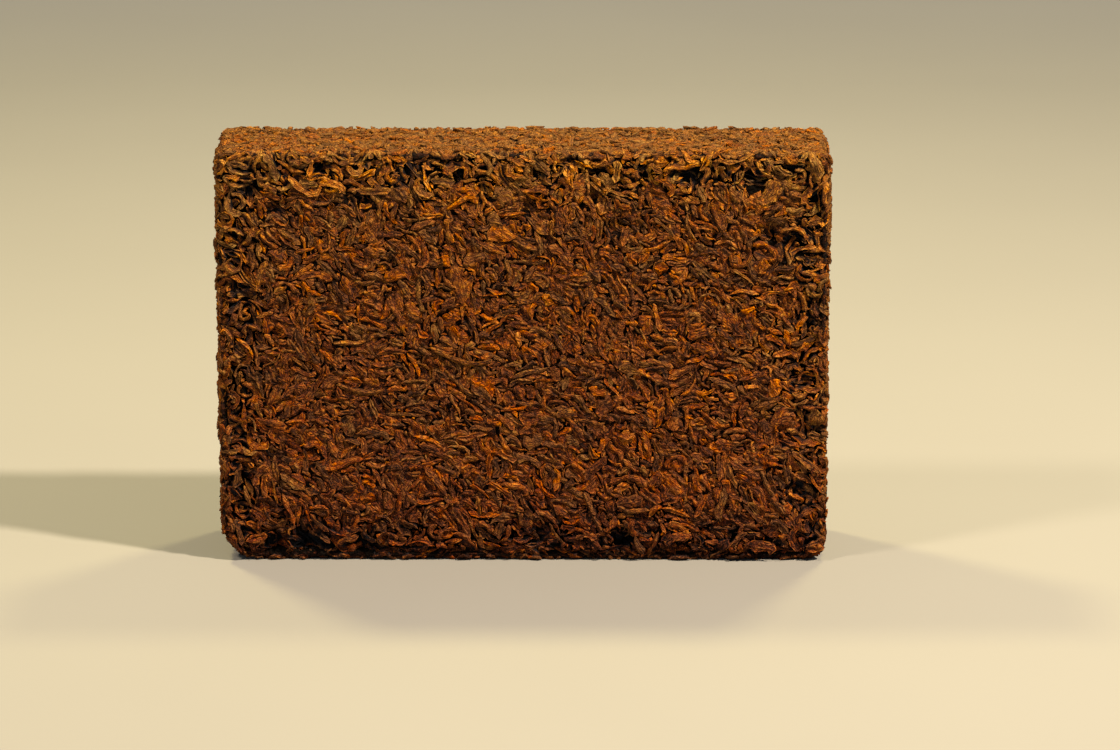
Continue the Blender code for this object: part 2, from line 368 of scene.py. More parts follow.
# Makes a batch of candidates of one kind and keeps those that find room.
def layBatch(kind, spots, room, given=None):
    form = leafKinds[kind]
    count = len(spots)
    lengths, widths, thicks, bends, headings, tones, lifts = given or drawLeaves(form, spots)
    sways = np.radians(form["sway"]) * draw.uniform(-1, 1, count)
    phases = draw.uniform(0, 2 * math.pi, count)
    coils = np.zeros(count)
    if kind == "curled":
        coils = draw.uniform(-strayForm["coil"], strayForm["coil"], count)
    kinks = np.radians(form["kink"]) * draw.normal(size=count) * (given is None)
    kinkSpots = draw.uniform(-strayForm["kinkAt"], strayForm["kinkAt"], count)
    blunts = draw.uniform(*form["blunt"], count)
    powers = draw.uniform(*strayForm["power"], count)
    tilts = draw.uniform(-1, 1, count)
    depths = draw.uniform(0, 1, count) ** 1.3
    samples = int(np.ceil(form["length"][1] * mm / (cell * 1.1)) // 2 * 2 + 1)
    lanes = max(3, int(round(form["width"][1] * mm / cell)))
    points, ways, forwards = traceLeaves(
        spots, headings, lengths, bends, sways, phases, coils, kinks, kinkSpots, samples)
    across = np.cross(ways, forwards)
    share = np.linspace(0, 1, samples)
    full = fullness(share[None, :], blunts[:, None], powers[:, None])
    offsets = np.linspace(-strayForm["mapWidth"], strayForm["mapWidth"], lanes)
    inner = np.abs(offsets) < 0.5
    spread = offsets[None, None, :] * full[:, :, None] * widths[:, None, None] / 2
    flatPoints, flatWays, _ = ontoBlock(points[:, :, None] + across[:, :, None] * spread[..., None])
    cells = cellsAt(flatPoints, flatWays)
    crowns = thicks[:, None] / 2 * (1 - np.sqrt(1 - (offsets * 0.97) ** 2))[None, :]
    planes = -sunk[cells].mean(2)
    slack = loose[cells].mean(2)
    faceSide = 1 - broad[cells].mean(2)
    gaps = np.abs(share[:, None] - share[None, :])
    kept = 0
    for one in range(count):
        ids = cells[one]
        there = top[ids]
        covered = there > bare
        if covered.mean() > room["overlap"] or (~covered).sum() < room["fresh"]:
            continue
        sink = room["sink"][0] + (room["sink"][1] - room["sink"][0]) * depths[one]
        level = planes[one] - sink * mm * (1 - placeForm["sideSink"] * faceSide[one])
        level = level - slack[one] * depths[one] * room["looseSink"] * mm
        dip = np.abs(tilts[one]) * (placeForm["tilt"][0] + placeForm["tilt"][1] * slack[one]) * mm
        level = level - dip * (1 + np.sign(tilts[one]) * (2 * share - 1))
        level = level + lifts[one] * mm
        limit = np.where(covered, there - room["tuck"] * mm, 1.0)[:, inner].min(1)
        level = np.minimum(level, limit)
        slope = room["slope"] * lengths[one]
        level = (level[None, :] + slope * gaps).min(1)
        deepest = -room["deepest"] * mm - placeForm["looseDeepest"] * mm * slack[one].max()
        if (level - planes[one]).min() < deepest:
            continue
        heights = level[:, None] - crowns[one][None, :]
        np.maximum.at(top, ids.ravel(), heights.ravel())
        laid[kind].append(dict(
            points=points[one], ways=ways[one], forwards=forwards[one], levels=level,
            length=lengths[one], width=widths[one], thick=thicks[one], blunt=blunts[one],
            power=powers[one], tone=tones[one], slack=slack[one],
        ))
        kept += 1
    return kept


# Leaves that stand out on the front: kind, across, up, length, width in mm, heading and
# turn in degrees, tone from dark to golden, lift in mm.
frontLeaves = (
    ("flat", -14.6, 65.5, 9.4, 4.6, 96, 10, 0.55, 0.05),
    ("flat", 46.9, 56.6, 8.2, 3.3, -57, 10, 0.25, 0.1),
    ("stalk", -14.2, 47.6, 15, 1, -18, 62, 0.62, 0.15),
    ("curled", 63.8, 11.6, 12.5, 1.2, 40, -285, 0.35, 0.2),
    ("rolled", 64.4, 23.7, 8.8, 1.7, -38, 15, 0.15, 0.2),
    ("flat", 34.1, 18.6, 6.4, 2.3, -45, 10, 0.96, 0.1),
    # upper left
    ("curled", -13.6, 84.8, 8.5, 1.3, 38, -125, 0.97, 0.25),
    ("thin", -17, 77.9, 6.2, 1.1, 92, 12, 0.97, 0.15),
    ("rolled", -33.5, 86.9, 8.6, 1.6, 4, 20, 0.62, 0.2),
    ("rolled", -35.2, 83.4, 2.7, 1.3, 10, 0, 0.99, 0.2),
    ("rolled", -22.4, 79.4, 6.2, 1.5, 27, 5, 0.78, 0.1),
    ("rolled", -55.8, 93, 7.6, 1.6, -56, -15, 0.7, 0.2),
    ("rolled", -47.5, 92.6, 4.2, 0.9, 85, 5, 0.97, 0.15),
    ("curled", -49.4, 87.4, 9, 1.6, -45, 120, 0.93, 0.15),
    ("curled", -42.6, 88.8, 7, 1.5, -10, -120, 0.96, 0.2),
    ("curled", -65.2, 79.8, 10, 1.1, 60, 230, 0.4, 0.2),
    ("curled", -64.8, 68.4, 9.4, 1.1, 20, 260, 0.45, 0.2),
    ("curled", -53, 65.6, 6.4, 1, -30, -100, 0.95, 0.15),
    ("curled", -48, 64.2, 5.6, 1, -35, 60, 0.94, 0.1),
    ("curled", -46.5, 68, 8, 1.5, 5, -110, 0.8, 0.15),
    ("flat", -28.8, 67.9, 5, 2.8, 20, 10, 0.9, 0.05),
    ("thin", -24, 75, 5, 0.9, -50, -20, 0.8, 0.1),
    ("rolled", -17.2, 70.9, 3.6, 1.6, -60, 0, 0.96, 0.1),
    ("rolled", -41.8, 71.6, 6, 1.1, -66, 0, 0.15, 0),
    ("rolled", -39.6, 70.4, 6.4, 1.1, -64, 5, 0.3, 0),
    # upper middle
    ("flat", -4.4, 85.9, 4.6, 3.4, -20, 10, 0.7, 0.15),
    ("flat", 1, 89, 4.8, 1.9, -30, 10, 0.72, 0.15),
    ("flat", -5.1, 77.1, 5, 3.2, -35, 10, 0.96, 0.05),
    ("flat", 0.3, 78.6, 3, 1.5, 15, 10, 0.97, 0.1),
    ("rolled", 0.3, 74.8, 7, 1.2, -28, -15, 0.62, 0.1),
    ("thin", 4.2, 75.2, 6.2, 1, -72, 5, 0.25, 0.05),
    ("rolled", 8.9, 72.3, 7.6, 1.5, -57, 10, 0.8, 0.1),
    ("rolled", 8.2, 79.7, 5.5, 1.5, -88, 0, 0.3, 0),
    ("flat", 12.8, 78.7, 4.2, 2.2, -50, 0, 0.62, 0.05),
    ("rolled", 12.6, 82.4, 5.4, 1.4, -62, 0, 0.4, 0.05),
    ("rolled", 15.7, 83.5, 6.4, 1.1, -62, 5, 0.25, 0.15),
    ("rolled", 13.5, 93.1, 4.8, 0.9, -32, 10, 0.88, 0.2),
    ("rolled", 17.2, 93, 4.6, 1.5, 20, 0, 0.88, 0.2),
    ("flat", 18.7, 89.6, 4.2, 2.8, -50, 10, 0.7, 0.15),
    ("rolled", 21.2, 91.6, 5.2, 1.4, 80, 0, 0.74, 0.15),
    ("rolled", 23.1, 76.9, 4.8, 1.1, 83, 0, 0.96, 0.1),
    # upper right
    ("rolled", 32, 79, 6.8, 1, -38, 5, 0.66, 0.15),
    ("flat", 44.1, 81.6, 7.8, 3.4, -65, 25, 0.3, 0.15),
    ("curled", 49, 69.8, 10.5, 1.2, 15, 270, 0.45, 0.15),
    ("curled", 56, 74, 9, 1.3, -30, -220, 0.8, 0.2),
    ("flat", 56, 86.6, 6.2, 3.8, 60, 10, 0.66, 0.2),
    ("flat", 53, 84.4, 4.8, 3.4, -40, 10, 0.95, 0.15),
    ("flat", 65.8, 93.4, 7.2, 1.9, -70, 5, 0.72, 0.2),
    ("curled", 69, 88, 9, 1.5, 85, -60, 0.9, 0.2),
    ("curled", 35.9, 92.4, 9, 1.5, -5, -60, 0.88, 0.2),
    ("rolled", 58.5, 91.5, 5, 1.3, -30, 0, 0.65, 0.2),
    # right
    ("rolled", 40.4, 54.1, 7, 1.9, 17, 5, 0.25, 0.05),
    ("flat", 41, 50.2, 6.4, 2.4, -28, 5, 0.25, 0.05),
    ("rolled", 51, 59.6, 3.4, 1.2, 30, 0, 0.98, 0.1),
    ("curled", 52.5, 56.5, 6.4, 1, -55, 130, 0.95, 0.1),
    ("rolled", 56.9, 54.5, 3.8, 1.1, -25, 20, 0.96, 0.1),
    ("rolled", 57.4, 52.4, 5.6, 1.2, -28, 20, 0.82, 0.1),
    ("rolled", 60, 53.2, 4.4, 1, -72, 0, 0.93, 0.1),
    ("curled", 59.7, 49.6, 6.6, 1.3, 10, -100, 0.9, 0.1),
    ("curled", 61.4, 46.6, 5.6, 1.2, 0, -90, 0.6, 0.1),
    ("thin", 33.1, 50.7, 5.2, 1, 0, -20, 0.95, 0.1),
    ("thin", 39.2, 47.9, 5.4, 1, 8, -10, 0.85, 0.1),
    ("rolled", 42.1, 46.3, 4.6, 1.1, -15, 0, 0.9, 0.1),
    ("rolled", 35.8, 44.8, 6.2, 1.8, 25, -15, 0.86, 0.1),
    ("curled", 46.1, 42.3, 9, 1.2, -25, -80, 0.6, 0.15),
    ("thin", 47.2, 44.4, 3.6, 0.8, -10, -30, 0.96, 0.15),
    ("rolled", 52.2, 44, 6.8, 1.3, 18, 10, 0.4, 0.1),
    ("thin", 51.9, 41.7, 3.4, 0.9, 12, 0, 0.97, 0.15),
    ("flat", 57.1, 41.5, 3.8, 2.8, -60, 10, 0.98, 0.1),
    ("rolled", 55.4, 37.2, 6.6, 1.3, 25, 10, 0.66, 0.1),
    ("flat", 58.6, 33.6, 5.4, 4.2, 20, 5, 0.08, 0.05),
    ("flat", 66.2, 34.1, 4.6, 3.8, 70, 5, 0.72, 0.1),
    ("curled", 43.3, 33.2, 8, 1.2, -40, 50, 0.92, 0.1),
    ("rolled", 37.2, 34.1, 5.2, 1, -85, 5, 0.92, 0.05),
    ("curled", 33.1, 38.4, 6.2, 1.5, -60, -70, 0.45, 0.1),
    ("thin", 43.3, 38.8, 2.6, 0.8, -12, 0, 0.98, 0.1),
    # middle
    ("stalk", 1.6, 44.9, 8.6, 1.1, 9, 12, 0.45, 0.1),
    ("rolled", -9.4, 40.3, 6, 1.6, -35, -15, 0.62, 0.05),
    ("curled", 4.8, 38.4, 4.8, 1, 75, -60, 0.97, 0.1),
    ("curled", 7.4, 33.2, 8, 1.2, -60, -90, 0.6, 0.1),
    ("rolled", 12.3, 31.5, 6.8, 1.6, -55, 10, 0.4, 0.05),
    ("rolled", 13.5, 37.5, 6.2, 1.3, -60, 15, 0.7, 0.05),
    ("flat", 1.9, 34.4, 5.6, 2.9, 10, 5, 0.25, 0),
    ("rolled", -3.9, 33.4, 5.8, 1.7, -40, 0, 0.35, 0.05),
    ("flat", 2.2, 28.3, 4.6, 3.2, 5, 5, 0.66, 0.05),
    ("curled", -4.4, 27.9, 5.2, 1.1, -70, 60, 0.97, 0.1),
    ("curled", 1, 24.6, 8, 1.2, -15, -60, 0.66, 0.1),
    ("flat", 23.6, 29.8, 3.6, 2.2, -15, 10, 0.98, 0.05),
    ("rolled", 28.2, 28.5, 6.6, 1.1, -80, 0, 0.94, 0.05),
    ("thin", 23.3, 36.1, 4.4, 0.9, -28, 0, 0.97, 0.1),
    ("flat", 23.9, 46, 3.8, 2.6, 0, 5, 0.76, 0.05),
    ("flat", 18.4, 37, 4.8, 3.2, 40, 5, 0.12, 0),
    ("thin", -1, 52.8, 4, 1, -60, 0, 0.96, 0.1),
    # along the bottom
    ("rolled", -19.8, 19.2, 9, 1.9, -52, 10, 0.3, 0.1),
    ("rolled", -30.4, 18.4, 6.6, 1.4, -65, 10, 0.88, 0.1),
    ("rolled", -40.6, 23.5, 9.4, 1.7, 28, 0, 0.84, 0.1),
    ("curled", -28.8, 4.2, 5.2, 1.3, -10, 100, 0.76, 0.3),
    ("rolled", -46.3, 5.8, 5.2, 1.6, -33, 0, 0.62, 0.3),
    ("rolled", -40.1, 5, 5.2, 1.5, 5, 0, 0.68, 0.3),
    ("flat", -65.2, 19.6, 4.2, 2.5, 80, 5, 0.62, 0.2),
    ("rolled", -63, 15.6, 5.6, 1.2, -70, 5, 0.74, 0.2),
    ("rolled", -52.5, 18.9, 7, 1.7, -35, 0, 0.74, 0.1),
    ("rolled", -53.6, 12.4, 8, 1.4, -65, 0, 0.86, 0.1),
    ("rolled", -61, 5.6, 5, 1.8, 15, 0, 0.86, 0.3),
    ("thin", -17.3, 13.7, 6.2, 1.1, 50, 0, 0.74, 0.1),
    ("rolled", -14, 9.6, 9, 1.9, -60, 0, 0.45, 0.1),
    ("curled", -18.1, 7.7, 5, 1, 10, -80, 0.94, 0.1),
    ("curled", 34.7, 25, 7.2, 1.2, 0, -120, 0.78, 0.1),
    ("rolled", 58.4, 13.4, 5.2, 1.4, -45, 5, 0.6, 0.1),
    ("flat", 60, 12.6, 2.8, 1.8, -50, 5, 0.98, 0.1),
    ("curled", 45.2, 13.4, 8.2, 1.6, 65, -60, 0.74, 0.1),
    ("rolled", 40.7, 13.6, 6.2, 1.4, 72, 0, 0.92, 0.1),
    ("curled", 24.2, 20.2, 10, 1.4, -5, -110, 0.3, 0.1),
    ("flat", 22.5, 17.8, 3.6, 1.5, 20, 0, 0.98, 0.1),
    ("rolled", 25, 11.9, 8, 1.4, 0, 8, 0.72, 0.1),
    ("flat", 24.2, 14.4, 6.2, 2.8, 0, 5, 0.25, 0),
    ("rolled", 30.2, 4.4, 6.4, 1.3, 72, 0, 0.96, 0.3),
    ("rolled", 32, 8, 3, 1, -60, 0, 0.97, 0.1),
    ("curled", 35.2, 5.9, 7.2, 1.6, 15, -70, 0.3, 0.2),
    ("rolled", 43.2, 4.6, 3.4, 1.2, 0, 0, 0.88, 0.3),
    ("rolled", 48.8, 5.2, 6.2, 1.2, 45, 0, 0.62, 0.3),
    ("rolled", 26.5, 3.8, 5.2, 1.6, -55, 0, 0.6, 0.4),
    ("curled", 14.5, 6.3, 5.2, 1.1, 0, -120, 0.95, 0.2),
    ("flat", 54.5, 3.9, 7.4, 2, -3, 5, 0.45, 0.4),
    ("rolled", 67, 4.4, 4.6, 1.2, 15, 0, 0.6, 0.4),
    ("rolled", 67.2, 2.6, 4.6, 1.4, 0, 0, 0.55, 0.5),
    ("rolled", 44.7, 22.7, 7, 1.4, -75, -10, 0.5, 0.1),
    ("rolled", 47.4, 20.3, 6.2, 1.2, -68, 0, 0.68, 0.1),
    ("rolled", 50.9, 22, 8, 1.8, -27, 0, 0.4, 0.1),
    ("rolled", 16.5, 22.5, 8, 1.9, 43, 0, 0.3, 0.1),
)


def layFrontLeaves():
    room = dict(overlap=0.9, fresh=1, sink=(0, 0.05), looseSink=0, tuck=0.2, slope=0.5, deepest=3)
    for kind, across, up, length, width, heading, turn, tone, lift in frontLeaves:
        spot = np.array([[across * mm, brickLow.y, up * mm]])
        thick = min(width, 1.1) * 0.9 if kind != "flat" else 0.7
        given = tuple(np.array([v]) for v in (
            length * mm, width * mm, thick * mm, math.radians(turn), math.radians(heading), tone, lift,
        ))
        layBatch(kind, spot, room, given)


def bareShare(where):
    return (top[where & cellUsed] <= bare).mean()


# The layers, from those that the press holds flush to those that fill the gaps.
layers = (
    # kind, batches, candidates in each, on bare cells only, where, then the room a leaf needs:
    # greatest overlap, fewest fresh cells, sink in mm, and further sink where loose
    ("curled", 1, 420, False, "rims", 0.25, 16, (0.0, 0.25), 0.6),
    ("flat", 1, 340, False, "all", 0.10, 20, (0.05, 0.25), 0.4),
    ("stalk", 1, 60, False, "all", 0.25, 20, (0.0, 0.2), 0.4),
    ("curled", 1, 160, False, "all", 0.20, 16, (0.0, 0.2), 0.5),
    ("thin", 1, 900, False, "all", 0.15, 8, (0.0, 0.15), 0.4),
    ("rolled", 8, 3000, False, "all", 0.06, 12, (0.0, 0.22), 0.8),
    ("rolled", 6, 3000, True, "all", 0.20, 12, (0.0, 0.28), 0.8),
    ("rolled", 6, 3000, True, "all", 0.34, 12, (0.0, 0.34), 0.7),
    ("mash", 1, 1800, True, "firm", 0.8, 36, (0.15, 0.4), 1.2),
    ("buried", 8, 4000, True, "all", 0.38, 8, (0.0, 0.34), 0.8),
    ("thin", 1, 2000, True, "all", 0.45, 7, (0.0, 0.3), 0.6),
    ("buried", 6, 4000, True, "all", 0.54, 7, (0.05, 0.4), 0.9),
    ("buried", 2, 2500, True, "pits", 0.6, 7, (0.1, 0.6), 0.9),
    ("crumb", 4, 2000, True, "pits", 0.7, 3, (0.1, 0.7), 1.0),
    ("crumb", 9, 4500, True, "all", 0.55, 3, (0.0, 0.35), 1.0),
)
layRoom = dict(tuck=0.14, slope=0.6, deepest=1.6)  # mm under a leaf on top, steepness, mm deep


def layAll():
    layFrontLeaves()
    for kind, batches, count, onBare, where, overlap, fresh, sink, looseSink in layers:
        room = dict(layRoom, overlap=overlap, fresh=fresh, sink=sink, looseSink=looseSink)
        got = 0
        for _ in range(batches):
            got += layBatch(kind, pickSpots(count, onBare, where), room)
        say(f"laid {got} {kind} leaves, bare: middle {bareShare(loose < 0.1):.3f}, "
            f"rims {bareShare(loose > 0.5):.3f}")


layAll()

# Where the corners of a leaf's section lie, in degrees from its right edge over the top,
# and how far out, for each way that a leaf is rolled up.
leafSections = {
    "deep": {
        "angles": (-28, 28, 60, 90, 120, 152, 208),
        "radii": (
            (1.02, 1.14, 0.74, 1.02, 0.76, 1.14, 1.02),
            (1.02, 1.10, 1.04, 0.66, 1.02, 1.12, 1.00),
            (0.98, 0.86, 1.10, 1.02, 1.00, 0.90, 1.04),
            (1.06, 1.14, 0.84, 0.84, 1.08, 0.86, 1.08),
            (1.00, 1.10, 1.08, 0.84, 0.74, 1.08, 1.04),
        ),
    },
    "some": {
        "angles": (-28, 36, 90, 144, 208),
        "radii": (
            (1.02, 1.16, 0.74, 1.16, 1.02),
            (1.00, 0.86, 1.04, 1.08, 1.04),
            (1.04, 1.16, 0.86, 0.84, 1.06),
        ),
    },
    "few": {
        "angles": (-28, 52, 128, 208),
        "radii": ((1.0, 1.10, 1.08, 1.0), (1.04, 0.84, 1.14, 1.0)),
    },
    "mashed": {
        "angles": (-15, 20, 48, 72, 90, 108, 132, 160, 195),
        "radii": (
            (1.00, 1.06, 0.92, 1.08, 0.90, 1.05, 0.94, 1.06, 1.0),
            (1.04, 0.92, 1.07, 0.90, 1.08, 0.92, 1.05, 0.90, 1.0),
        ),
    },
    "crumpled": {
        "angles": (-20, 20, 48, 76, 104, 132, 160, 200),
        "radii": (
            (1.00, 1.05, 0.80, 1.08, 0.78, 0.96, 1.08, 1.0),
            (1.00, 0.86, 1.02, 0.84, 1.06, 0.90, 1.02, 1.0),
            (1.05, 1.12, 0.92, 0.80, 0.92, 1.02, 0.86, 1.0),
        ),
    },
}


# Writes a mesh from arrays, with its attributes and the flat layout for baked colours.
def meshOf(name, points, faces, attributes, layout, creased=None):
    mesh = bpy.data.meshes.new(name)
    corners = sum(f.size for f in faces)
    sizes = np.concatenate([np.full(len(f), f.shape[1]) for f in faces])
    mesh.vertices.add(len(points))
    mesh.vertices.foreach_set("co", points.astype(np.float32).ravel())
    mesh.loops.add(corners)
    mesh.loops.foreach_set("vertex_index", np.concatenate([f.ravel() for f in faces]).astype(np.int32))
    mesh.polygons.add(len(sizes))
    starts = np.concatenate(((0,), np.cumsum(sizes)[:-1]))
    mesh.polygons.foreach_set("loop_start", starts.astype(np.int32))
    mesh.polygons.foreach_set("use_smooth", np.ones(len(sizes), bool))
    mesh.update(calc_edges=True)
    for label, values in attributes.items():
        kind, field = ("FLOAT_VECTOR", "vector") if values.ndim == 2 else ("FLOAT", "value")
        layer = mesh.attributes.new(label, kind, "POINT")
        layer.data.foreach_set(field, values.astype(np.float32).ravel())
    flat = mesh.uv_layers.new(name="OFBake")
    flat.uv.foreach_set("vector", layout.astype(np.float32).ravel())
    mesh.validate()
    if creased is not None:
        edges = np.empty(len(mesh.edges) * 2, np.int32)
        mesh.edges.foreach_get("vertices", edges)
        sharp = mesh.attributes.new("sharp_edge", "BOOLEAN", "EDGE")
        sharp.data.foreach_set("value", creased(edges.reshape(-1, 2)))
    piece = bpy.data.objects.new(name, mesh)
    bpy.context.scene.collection.objects.link(piece)
    return piece


# Quads between a leaf's rings, and triangles over its two ends.
def facesOfLeaves(count, rings, columns, flip):
    column = np.arange(columns)
    beside = (column + 1) % columns
    ring = np.arange(rings)[:, None] * columns + 1
    quads = np.stack((ring[:-1] + column, ring[:-1] + beside, ring[1:] + beside, ring[1:] + column), -1)
    firstCap = np.stack((np.zeros(columns, int), 1 + beside, 1 + column), -1)
    tip = rings * columns + 1
    lastRing = tip - columns
    lastCap = np.stack((np.full(columns, tip), lastRing + column, lastRing + beside), -1)
    starts = np.arange(count)[:, None, None] * (tip + 1)
    faces = []
    for own in (quads.reshape(-1, 4), np.concatenate((firstCap, lastCap))):
        # turned-over sections run the other way round
        turned = np.where(flip[:, None, None], own[:, ::-1] + starts, own + starts)
        faces.append(turned.reshape(-1, own.shape[1]))
    return faces


# How uneven leaves are, as shares of their sizes, and how the press shapes them.
growthForm = {
    "endRings": 0.09,  # how near the first and last rings are to the ends
    "waists": 0.17,
    "furrows": (0.8, 1.7),
    "corners": 0.07,
    "edges": 0.17,
    "looser": 0.6,  # how much more uneven loose leaf is
    "twist": 1.4,
    "flattened": (0.22, 0.32),  # by the press, and further on the narrow sides
    "squeezed": 0.13,  # how much wider than laid, pressed into its neighbours
    "slant": 0.8,  # of the torn ends
    "crumpleSize": 1.3 * mm,
    "standOut": (0.05, 0.5, 0.75),  # firm, more where loose, and on the narrow sides
    "crisp": (0.45, 0.35),  # share of hard folds, and more where loose
    # loose leaf is paler; leaf near the top is paler still, as painted light, and the foot of the brick is
    # darker, as painted shade
    "paintedLightAndShade": dict(loose=0.6, atTop=0.7, topFrom=0.6, topOver=0.3, atFoot=0.9, footTo=0.22, footOver=0.2),
}


# Grows closed leaves along their lines: rings of one section each, and a point at each end.
def growLeaves(kind, name, leaves):
    form = leafKinds[kind]
    section = leafSections[form["furrows"]]
    angles = np.radians(section["angles"])
    patterns = np.array(section["radii"])
    columns, rings = len(angles), form["rings"]
    count = len(leaves)
    parts = [np.array([leaf[part] for leaf in leaves]) for part in leaves[0]]
    points, ways, forwards, levels, lengths, widths, thicks, blunts, powers, tones, slack = parts
    last = points.shape[1] - 1
    slack = slack.max(1)
    rough = 1 + growthForm["looser"] * slack[:, None]
    dice = np.random.default_rng(len(name) * 1000 + rings)

    # rings sit closer together near the ends
    endRings = growthForm["endRings"]
    share = 0.5 - 0.5 * np.cos(np.linspace(endRings, 1 - endRings, rings) * math.pi)
    at = (share * last).round().astype(int)
    share = at / last
    full = fullness(share[None, :], blunts[:, None], powers[:, None])
    full = full * np.clip(1 + growthForm["waists"] * rough * dice.normal(size=(count, rings)), 0.55, 1.4)

    # how far out the corners of each section are
    pattern = patterns[dice.integers(0, len(patterns), count)]
    flip = dice.random(count) < 0.5
    radii = 1 + (pattern - 1) * dice.uniform(*growthForm["furrows"], (count, 1)) * rough
    radii = radii[:, None, :] * (1 + growthForm["corners"] * dice.normal(size=(count, rings, columns)))
    edgeTrim = growthForm["edges"] * dice.normal(size=(2, count, rings, 1))
    edgeSide = (1 + np.cos(angles))[None, None, :] / 2
    radii = radii * (1 + edgeTrim[0] * edgeSide + edgeTrim[1] * (1 - edgeSide))
    twist = np.radians(form["lean"]) * dice.uniform(-1, 1, (count, 1)) * growthForm["twist"]
    roll = np.radians(form["lean"]) * dice.uniform(-1, 1, (count, 1)) * (0.5 + slack[:, None])
    lean = (roll + twist * (share[None, :] - 0.5) * 2)[:, :, None]
    angle = np.where(flip[:, None], math.pi - angles[None, :], angles[None, :])
    flat = np.cos(angle)[:, None, :] * radii
    sideways = 1 - np.abs(ways[:, last // 2, 1])
    everywhere, further = growthForm["flattened"]
    pressed = 1 - ((everywhere + further * sideways) * (1 - slack))[:, None, None]
    tall = np.sign(np.sin(angle))[:, None, :] * np.abs(np.sin(angle))[:, None, :] ** pressed * radii

    # the section leans a little, and its furrows wander round it
    squeezed = 1 + growthForm["squeezed"] * (1 - slack)
    halfWidth = (widths * squeezed)[:, None, None] / 2 * full[:, :, None]
    halfThick = thicks[:, None, None] / 2 * np.minimum(full * 1.15, 1)[:, :, None]
    right = halfWidth * flat * np.cos(lean) - halfThick * tall * np.sin(lean) * 0.6
    rise = halfThick * tall * np.cos(lean) + halfWidth * flat * np.sin(lean) * 0.45
    base = levels[:, at] - thicks[:, None] / 2 * np.minimum(full * 1.1, 1)
    across = np.cross(ways, forwards)
    body = points[:, at][:, :, None]
    body = body + across[:, at][:, :, None] * right[..., None]
    body = body + ways[:, at][:, :, None] * (base[:, :, None] + rise)[..., None]
    slant = dice.uniform(-growthForm["slant"], growthForm["slant"], (count, 2, 1, 1))
    nearFirst = np.clip(1 - 2.5 * share, 0, 1)[None, :, None]
    nearLast = np.clip(2.5 * share - 1.5, 0, 1)[None, :, None]
    slant = slant[:, 0] * nearFirst + slant[:, 1] * nearLast
    body = body + forwards[:, at][:, :, None] * (slant * right)[..., None]
    crumpled = np.stack([ripple(body, growthForm["crumpleSize"], 40 + axis) for axis in range(3)], -1)
    body = body + crumpled * form["crumple"] * mm
    tips = [points[:, end] + ways[:, end] * (levels[:, end] - thicks * 0.45)[:, None] for end in (0, last)]
    allPoints = withEnds(tips[0][:, None], body.reshape(count, -1, 3), tips[1][:, None])
    firm, whereLoose, onSides = growthForm["standOut"]
    standOut = np.maximum(firm + whereLoose * slack, onSides * sideways)
    allPoints = heldByPress(allPoints, standOut[:, None] * blockForm["proud"]).reshape(-1, 3)

    # what the finish reads; grain is in mm along and across the leaf, and far apart for each
    # ridges that stand high on the outer side of a leaf are painted lighter, a painted highlight
    ridge = np.clip((radii - 0.72) / 0.36, 0, 1) * eased(0.5 + tall)
    chance = dice.random(count)
    grain = np.stack(np.broadcast_arrays(
        share[None, :, None] * lengths[:, None, None] / mm,
        angle[:, None, :] * widths[:, None, None] / 2 / mm,
        chance[:, None, None] * 50,
    ), -1)
    endGrain = [np.stack((lengths * end / mm, widths / mm, chance * 50), -1)[:, None] for end in (0, 1)]
    endRidgeHighlight = np.full((count, 1), 0.6)
    crest = withEnds(levels[:, :1], np.repeat(levels[:, at], columns, 1), levels[:, -1:]).ravel()
    distance, way, _ = fromBlock(allPoints)
    paintedLightAndShadeForm = growthForm["paintedLightAndShade"]
    high = (points[:, last // 2, 2] - brickLow.z) / (brickHigh.z - brickLow.z)
    # paler near the top as painted light, darker at the foot as painted shade
    paler = paintedLightAndShadeForm["atTop"] * eased((high - paintedLightAndShadeForm["topFrom"]) / paintedLightAndShadeForm["topOver"])
    darker = paintedLightAndShadeForm["atFoot"] * eased((paintedLightAndShadeForm["footTo"] - high) / paintedLightAndShadeForm["footOver"])
    paintedLightAndShade = slack * (paintedLightAndShadeForm["loose"] + paler) - darker
    perLeaf = rings * columns + 2
    attributes = {
        "leafTone": np.repeat(tones + paintedLightAndShade, perLeaf),
        "leafChance": np.repeat(chance, perLeaf),
        "leafRidgeHighlight": withEnds(endRidgeHighlight, ridge.reshape(count, -1), endRidgeHighlight).ravel(),
        # how far below its leaf's crest a point lies, which sets the painted shade
        "leafDepth": np.clip((0.75 * crest - distance) / mm, 0, 3) * (0.55 + 0.45 * np.abs(way[:, 1])),
        "leafSide": 1 - np.abs(way[:, 1]),
        "leafGrain": withEnds(endGrain[0], grain.reshape(count, -1, 3), endGrain[1]).reshape(-1, 3),
    }
    some, moreLoose = growthForm["crisp"]
    hardColumns = dice.random((count, columns)) < some + moreLoose * slack[:, None]

    # the folds that run along a leaf are crisp where it is hard
    def creased(edges):
        local = edges % perLeaf - 1
        inside = ((local >= 0) & (local < rings * columns)).all(1)
        column = local % columns
        along = inside & (column[:, 0] == column[:, 1])
        return along & hardColumns[edges[:, 0] // perLeaf, column[:, 0]]

    faces = facesOfLeaves(count, rings, columns, flip)
    layout = layoutOfLeaves(count, columns, share, flip)
    piece = meshOf(name, allPoints, faces, attributes, layout, creased)
    say(f"{name}: {count} leaves, {len(faces[0]) * 2 + len(faces[1])} triangles")
    return piece


def withEnds(first, body, last):
    return np.concatenate((first, body, last), 1)


# Holds points back to where the press, the table and the box of the solid let them be.
def heldByPress(points, proud):
    distance, way, _ = fromBlock(points)
    over = distance - proud
    points = points - way * (np.where(over > 0, over * 0.8, 0))[..., None]
    low = np.array(brickLow)
    high = np.array(brickHigh)
    low[2] += 0.05 * mm
    return np.clip(points, low, high)


